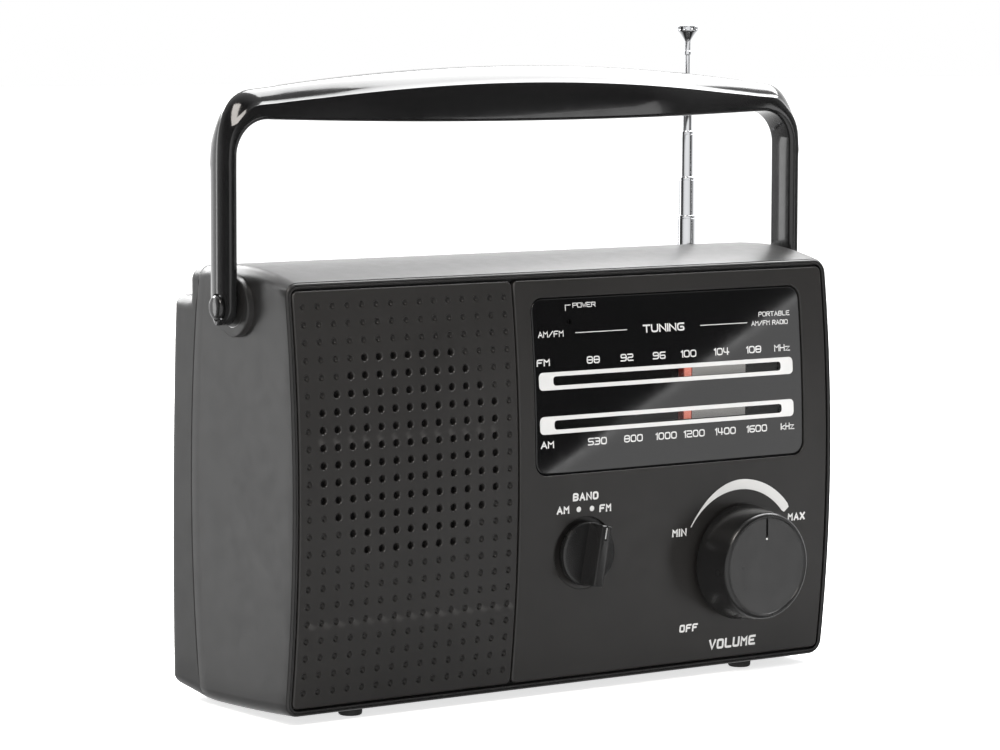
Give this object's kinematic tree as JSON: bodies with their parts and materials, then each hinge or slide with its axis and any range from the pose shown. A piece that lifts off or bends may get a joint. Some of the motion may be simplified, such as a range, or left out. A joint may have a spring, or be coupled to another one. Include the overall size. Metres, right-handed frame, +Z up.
{
  "type": "tabletop radio",
  "caption": "Portable AM/FM tabletop radio with a bowed front, side speaker grille, slide-rule dial, fold-over carrying handle and telescopic aerial.",
  "frame": {"origin": "middle of the footprint, on the plane that the feet stand on", "axes": "+Z up, +Y towards the rear, +X to the viewer's right as the viewer faces the front panel"},
  "size_m": [0.2586, 0.098, 0.2376],
  "materials": {
    "case_plastic": "fine spark-eroded matt black",
    "panel_plastic": "satin black, slightly lighter than the case",
    "speaker_fabric": "thin black acoustic cloth",
    "lens_clear": "clear polished acrylic",
    "print_black": "black back-print with clear slots",
    "inner_plastic": "dark grey moulding",
    "led_red": "red diffused lamp",
    "needle_red": "red orange needle",
    "bright_steel": "bright zinc plate",
    "cord": "woven nylon dial cord",
    "natural_nylon": "natural nylon",
    "knob_plastic": "satin black",
    "phenolic": "brown phenolic paper",
    "tin_can": "tinned screening cans and housings",
    "capacitor_sleeve": "shrink sleeve",
    "ferrite": "sintered ferrite",
    "copper_wire": "enamelled copper winding",
    "cone_paper": "black pulp cone",
    "core_steel": "stacked silicon steel",
    "socket_plastic": "black socket moulding",
    "handle_plastic": "polished black",
    "chrome": "bright chrome plate",
    "rubber": "moulded rubber"
  },
  "bodies": {
    "case": {"front_case": "case_plastic", "rear_case": "case_plastic", "grille_panel": "panel_plastic", "control_panel": "panel_plastic", "speaker_cloth": "speaker_fabric", "dial_lens": "lens_clear", "dial_mask": "print_black", "dial_chassis": "inner_plastic", "power_led": "led_red", "pointer_rail": "bright_steel", "dial_cord": "cord", "idler_axle": "bright_steel", "tuning_bush": "natural_nylon", "tuning_capacitor": "natural_nylon", "volume_pot": "phenolic", "band_switch": "tin_can", "main_board": "phenolic", "board_screws": "bright_steel", "if_cans": "tin_can", "electrolytics": "capacitor_sleeve", "ferrite_rod": "ferrite", "ferrite_coil": "copper_wire", "ferrite_holders": "natural_nylon", "speaker_basket": "tin_can", "speaker_magnet": "ferrite", "speaker_cone": "cone_paper", "dust_cap": "cone_paper", "speaker_screws": "bright_steel", "transformer_core": "core_steel", "transformer_winding": "copper_wire", "mains_inlet": "socket_plastic", "inlet_pins": "bright_steel", "headphone_jack": "socket_plastic", "battery_tray": "inner_plastic", "battery_springs": "bright_steel", "battery_plates": "bright_steel", "handle_pins": "handle_plastic", "aerial_guide": "inner_plastic", "case_screws": "bright_steel", "feet": "rubber"},
    "handle": {"handle": "handle_plastic"},
    "volume": {"volume_knob": "knob_plastic", "volume_shaft": "bright_steel"},
    "band": {"band_knob": "knob_plastic", "band_shaft": "bright_steel"},
    "tuning": {"tuning_knob": "knob_plastic", "tuning_shaft": "bright_steel", "cord_drum": "natural_nylon"},
    "pointer": {"pointer": "needle_red"},
    "idler_tr": {"idler_top_right": "natural_nylon"},
    "idler_br": {"idler_bottom_right": "natural_nylon"},
    "idler_tl": {"idler_top_left": "natural_nylon"},
    "idler_bl": {"idler_bottom_left": "natural_nylon"},
    "tube_1": {"aerial_tube_1": "chrome"},
    "tube_2": {"aerial_tube_2": "chrome"},
    "tube_3": {"aerial_tube_3": "chrome"},
    "tube_4": {"aerial_tube_4": "chrome"},
    "tube_5": {"aerial_tube_5": "chrome"},
    "rod": {"aerial_rod": "chrome"},
    "battery_door": {"battery_door": "case_plastic"}
  },
  "joints": [
    {"name": "handle_fold", "type": "hinge", "parent": "case", "child": "handle", "pos_m": [0, 0.0022, 0.1419], "axis": [1, 0, 0], "range_deg": [-18, 90]},
    {"name": "volume_turn", "type": "hinge", "parent": "case", "child": "volume", "pos_m": [0.0755, -0.033, 0.042], "axis": [0, 1, 0], "range_deg": [-138, 62]},
    {"name": "band_turn", "type": "hinge", "parent": "case", "child": "band", "pos_m": [0.00425, -0.033, 0.0507], "axis": [0, 1, 0], "range_deg": [-21.4, 0]},
    {"name": "tuning_turn", "type": "hinge", "parent": "case", "child": "tuning", "pos_m": [0, 0.007, 0.0973], "axis": [1, 0, 0], "range_deg": [-65.9, 109.7]},
    {"name": "pointer_slide", "type": "slide", "parent": "case", "child": "pointer", "axis": [1, 0, 0], "range_m": [-0.0498, 0.0299]},
    {"name": "idler_tr_turn", "type": "hinge", "parent": "case", "child": "idler_tr", "pos_m": [0.0955, -0.0205, 0.1233], "axis": [0, 0, 1], "range_deg": [-633.8, 380.8]},
    {"name": "idler_br_turn", "type": "hinge", "parent": "case", "child": "idler_br", "pos_m": [0.0955, -0.0205, 0.0713], "axis": [0, 0, 1], "range_deg": [-380.8, 633.8]},
    {"name": "idler_tl_turn", "type": "hinge", "parent": "case", "child": "idler_tl", "pos_m": [-0.012, -0.025, 0.1188], "axis": [0, 1, 0], "range_deg": [-633.8, 380.8]},
    {"name": "idler_bl_turn", "type": "hinge", "parent": "case", "child": "idler_bl", "pos_m": [-0.012, -0.025, 0.0758], "axis": [0, 1, 0], "range_deg": [-633.8, 380.8]},
    {"name": "aerial_lift", "type": "slide", "parent": "case", "child": "tube_1", "axis": [0, 0, 1], "range_m": [-0.0195, 0.07]},
    {"name": "tube_2_slide", "type": "slide", "parent": "tube_1", "child": "tube_2", "axis": [0, 0, 1], "range_m": [-0.0138, 0.08]},
    {"name": "tube_3_slide", "type": "slide", "parent": "tube_2", "child": "tube_3", "axis": [0, 0, 1], "range_m": [-0.0165, 0.075]},
    {"name": "tube_4_slide", "type": "slide", "parent": "tube_3", "child": "tube_4", "axis": [0, 0, 1], "range_m": [-0.0084, 0.08]},
    {"name": "tube_5_slide", "type": "slide", "parent": "tube_4", "child": "tube_5", "axis": [0, 0, 1], "range_m": [-0.0085, 0.078]},
    {"name": "rod_slide", "type": "slide", "parent": "tube_5", "child": "rod", "axis": [0, 0, 1], "range_m": [-0.0096, 0.076]},
    {"name": "battery_door_pull", "type": "slide", "parent": "case", "child": "battery_door", "axis": [0, 1, 0], "range_m": [0, 0.04]}
  ],
  "couplings": [
    {"joint": "pointer_slide", "follows": "tuning_turn", "m_per_rad": -0.026},
    {"joint": "idler_tr_turn", "follows": "tuning_turn", "ratio": -5.7778},
    {"joint": "idler_br_turn", "follows": "tuning_turn", "ratio": 5.7778},
    {"joint": "idler_tl_turn", "follows": "tuning_turn", "ratio": -5.7778},
    {"joint": "idler_bl_turn", "follows": "tuning_turn", "ratio": -5.7778}
  ]
}
